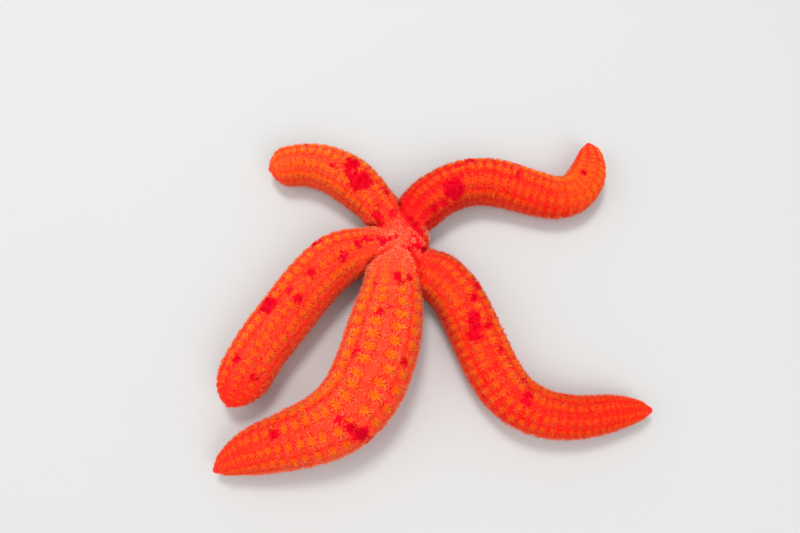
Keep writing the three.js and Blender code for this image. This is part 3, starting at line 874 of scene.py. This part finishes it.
tufts = tuft_table()
tufts = pick(tufts, np.linalg.norm(tufts["point"] - SIEVE, axis=1) > SIEVE_RADIUS + tufts["tuft"] * 0.8)
nearest, distance = nearest_of(tufts["point"], skin_points)
from_tuft = distance / tufts["tuft"][nearest]
fold = fold_of(skin_points)
# Where two arms meet near the disc; this only sets where the skin is painted with crease shade.
natural_fold = np.where((skin_place["s"] > 12) & (skin_place["s"] < 45),
                        skin_place["next_off"] - skin_place["off"], 9)
banks = BANK_HEIGHT * np.exp(-((fold - BANK_AWAY) / (0.5 * BANK_AWAY)) ** 2)
lift = CUSHION * smoothstep(1.15, 0.1, from_tuft) - FOLD_DEPTH * np.exp(-(fold / FOLD_WIDTH) ** 2) + banks
shaped_points = skin_points + times(skin_normals, lift)
shaped_points[:, 2] = np.maximum(shaped_points[:, 2], FLOOR_CLEAR)

face_arm = np.repeat(skin_place["arm"][skin_quads[:, 0]], 4)
corner_angle = skin_angles[face_arm, skin_quads.ravel()]
face_angle = np.repeat(corner_angle[::4], 4)
corner_angle += 2 * math.pi * np.round((face_angle - corner_angle) / (2 * math.pi))
skin_values = on_arm_values(skin_place["arm"], skin_place["s"], skin_place["angle"])
evened = relaxed(np.stack(list(skin_values.values()), -1), skin_quads, rounds=14)  # from one arm to the next
skin = mesh_object(
    "skin", shaped_points, [skin_quads], skin_finish(),
    dict(tuft=1 - from_tuft, fold=np.minimum(fold, natural_fold), blotch=blotch_of(skin_points),
         **dict(zip(skin_values, evened.T))),
    bake_place(face_arm, skin_s[face_arm, skin_quads.ravel()], corner_angle))
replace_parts(skin, "disc", *[f"{arm.name}_{part}" for arm in ARMS for part in ARM_PARTS])

gills = gill_table(tufts)
gill_look = gill_finish()
for arm in ARMS:
    rod_pieces(f"{arm.name}_gills", pick(gills, gills["arm"] == arm.index), gill_look,
               sides=3, stations=(0, 0.6, 1.0), thickness=(1.0, 0.9, 0.55))
fuzz = fuzz_table(from_tuft, fold, shaped_points)
rod_pieces("fuzz", fuzz, fuzz_finish(), sides=3, stations=(0, 1.0), thickness=(1.0, 0.75))

# ---- Underneath: tube feet, spines and mouth ----


def along_groove(first, pitch, shift=0.0):
    """Pairs of places along every groove, left and right of its middle: whose arm, distance and side."""
    rows = []
    for arm in ARMS:
        s = first
        while s < arm.end - 0.6:
            rows += [(arm.index, s + shift * side, side) for side in (-1, 1)]
            s += pitch * float(arm.look_up(arm.radius, s)) / 12
    index, s, side = np.array(rows).T
    return index.astype(int), s, side


def groove_table(first, pitch, across_by, sunk, lean_out, length, radius, shift=0.0, hang=0.0):
    """Rods that hang or stand beside the middle of every groove. Their sizes are in half widths of the arm,
    and hang is how much of the way to the floor they are longer, where the sole rises from it."""
    index, s, side = along_groove(first, pitch, shift)
    columns = []
    for arm in ARMS:
        mine = index == arm.index
        axis, _, left, up = arm.directions(s[mine])
        size = arm.look_up(arm.skin, s[mine])
        sole = np.maximum(axis[:, 2] - size * math.sqrt(1 - across_by ** 2), SOLE)
        point = axis + times(left, side[mine] * across_by * size)
        point[:, 2] = sole + sunk * size
        out = unit(-up + times(left, side[mine] * lean_out) + 0.12 * rng.normal(0, 1, axis.shape))
        reach = length * size * rng.uniform(0.9, 1.1, len(size)) + hang * (sole - SOLE)
        columns.append(dict(point=point, out=out, lean=times(left, side[mine]), length=reach,
                            radius=radius * size, bend=rng.uniform(-0.1, 0.1, len(size)),
                            rank=rng.uniform(0, 1, len(size)), arm=index[mine], s=s[mine],
                            angle=side[mine] * 3.0))
    return {key: np.concatenate([column[key] for column in columns]) for key in columns[0]}


feet = groove_table(first=5.5, pitch=2.3, across_by=0.095, sunk=0.33, lean_out=0.1, length=0.335,
                    radius=0.04, shift=0.55, hang=0.4)
rod_pieces("tube_feet", feet, plain_finish("tube feet", UNDER, PALE), sides=8,
           stations=(0, 0.45, 0.86, 0.9, 1.0), thickness=(1.25, 1.0, 0.9, 1.75, 1.85), blunt=-0.3)
spine_look = plain_finish("spines", ORANGE_RED, PALE)
inner_spines = groove_table(first=5, pitch=1.25, across_by=0.235, sunk=0.055, lean_out=-0.6, length=0.11,
                            radius=0.026)
outer_spines = groove_table(first=5, pitch=2.4, across_by=0.33, sunk=0.03, lean_out=0.5, length=0.085,
                            radius=0.042)
for name, spines in (("inner_spines", inner_spines), ("outer_spines", outer_spines)):
    rod_pieces(name, spines, spine_look, sides=6, stations=(0, 0.5, 0.9), thickness=(0.9, 1.0, 0.7))

# ---- The small hard parts ----


def towards(node):
    """The middle of a node's box, and the direction to it from the middle of the disc."""
    low, high = (np.array(corner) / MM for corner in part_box(node))
    middle = (low + high) / 2
    return middle, unit(np.append(middle[:2] - CENTRE, 0))


def buttons(name, rods, material, squareness=0.5, rise=0.3):
    """Low domes: their widest part is at each rod's point."""
    stations = np.sin(np.radians(np.linspace(0, 86, 10)))
    return rod_pieces(name, rods, material, sides=32, stations=stations,
                      thickness=(1 - stations ** 2) ** squareness, blunt=rise, mapped=False)[0]


def terminal_plates():
    ends = [arm.directions(np.array([arm.length - TERMINAL_SUNK])) for arm in ARMS]
    axis, forward, _, _ = (np.concatenate(values) for values in zip(*ends))
    return few_rods(axis, forward, TERMINAL_SUNK + TERMINAL_PROUD, TERMINAL_SHOWN)


def mouth_film(turns=140):
    """The soft skin around the mouth: a wrinkled ring, from its outer edge in underneath and back above."""
    reach = np.array([5.3, 4.6, 3.7, 2.8, 2.0, 1.4, 1.1, 1.3, 2.2, 3.6, 5.3])
    height = np.array([2.3, 2.05, 1.95, 2.0, 2.15, 2.35, 2.6, 2.85, 2.9, 2.95, 3.1])
    turn = np.linspace(0, 2 * math.pi, turns, endpoint=False)[:, None]
    inward = np.clip((MOUTH_RADIUS - reach) / MOUTH_RADIUS, 0, 1)
    fold = np.cos(20 * turn) + 0.4 * np.cos(33 * turn + 1)
    reach = reach * (1 + 0.06 * fold * inward)
    points = np.stack([CENTRE[0] + reach * np.cos(turn), CENTRE[1] + reach * np.sin(turn),
                       height + 0.12 * fold * inward], -1)
    i, k = np.meshgrid(np.arange(turns), np.arange(len(height)), indexing="ij")
    after, beside = (i + 1) % turns, (k + 1) % len(height)
    around = ((i, k), (after, k), (after, beside), (i, beside))
    corners = [row * len(height) + column for row, column in around]
    f = Finish("mouth", 0.4, specular=0.3, subsurface=0.2)
    look = f.done(f.mix(f.rise(f.noise(1.2), 0.35, 0.65), UNDER, PALE))
    quads = np.stack(corners, -1).reshape(-1, 4)
    return mesh_object("mouth_skin", points.reshape(-1, 3), [quads], look)


def jaw_spines():
    """Blunt spines in two layers that lie side by side over each jaw and close over the mouth."""
    point, out = [], []
    for k in range(len(ARMS)):
        _, inward = towards(f"jaw_{k + 1}")
        beside = np.array([-inward[1], inward[0], 0])
        for height, spread in ((0.75, (-1.35, -0.45, 0.45, 1.35)), (1.45, (-1.8, -0.9, 0, 0.9, 1.8))):
            for aside in spread:
                start = np.append(CENTRE, height) + inward * (MOUTH_RADIUS + 0.3) + beside * aside
                end = np.append(CENTRE, height - 0.1) + inward * (1.7 + 0.5 * abs(aside))
                end = end + beside * aside * 0.45
                point.append(start)
                out.append(end - start)
    return few_rods(point, out, np.linalg.norm(out, axis=1), 0.46)


plates = buttons("terminal_plates", terminal_plates(), plain_finish("terminal plates", RED, ORANGE_RED, 0.35))
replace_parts(plates, *[f"{arm.name}_terminal_plate" for arm in ARMS])
sieve = Finish("madreporite", 0.5, subsurface=0.1)
sieve_top = sieve.mix(sieve.rise(sieve.noise(1.3), 0.45, 0.6, 0.0, 0.8), PALE_PINK, CRIMSON)
sieve = sieve.done(sieve.mix(sieve.rise(sieve.attribute("along"), 0.5, 0.9), CRIMSON, sieve_top),
                   sieve.bump(sieve.cells(0.5), 0.9, 0.25))
sieve_rod = few_rods([SIEVE - SIEVE_SUNK * SIEVE_OUT], [SIEVE_OUT], SIEVE_HIGH, SIEVE_RADIUS)
madreporite = buttons("madreporite", sieve_rod, sieve, squareness=0.35, rise=0.1)
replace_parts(madreporite, "madreporite")
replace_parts(mouth_film(), "mouth_film")
jaws = rod_pieces("jaws", jaw_spines(), plain_finish("jaws", UNDER, PALE), sides=10,
                  stations=(0, 0.4, 0.8, 0.93, 1.0), thickness=(0.9, 1.05, 0.95, 0.75, 0.45), blunt=0.3,
                  mapped=False)[0]
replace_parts(jaws, *[f"jaw_{k + 1}" for k in range(len(ARMS))])

# ---- Floor and light ----


def area_light(name, place, size, power):
    lamp = bpy.data.lights.new(name, "AREA")
    lamp.shape = "DISK"
    lamp.size = size
    lamp.energy = power
    made = bpy.data.objects.new(name, lamp)
    bpy.context.scene.collection.objects.link(made)
    made.location = place
    made.rotation_euler = (-Vector(place)).to_track_quat("-Z", "Y").to_euler()


def floor(reach):
    mesh = bpy.data.meshes.new("floor")
    corners = [(-reach, -reach, 0), (reach, -reach, 0), (reach, reach, 0), (-reach, reach, 0)]
    mesh.from_pydata(corners, [], [(0, 1, 2, 3)])
    mesh.materials.append(Finish("floor", 0.8, specular=0.2).done(FLOOR_GREY))
    made = bpy.data.objects.new("floor", mesh)
    bpy.context.scene.collection.objects.link(made)


floor(FLOOR_REACH)
for light in LIGHTS:
    area_light(*light)
world = bpy.data.worlds.new("world")
world.use_nodes = True
world.node_tree.nodes["Background"].inputs["Color"].default_value = SKY
world.node_tree.nodes["Background"].inputs["Strength"].default_value = SKY_STRENGTH
bpy.context.scene.world = world
bpy.context.scene.view_settings.view_transform = "Standard"
bpy.context.scene.cycles.use_denoising = True
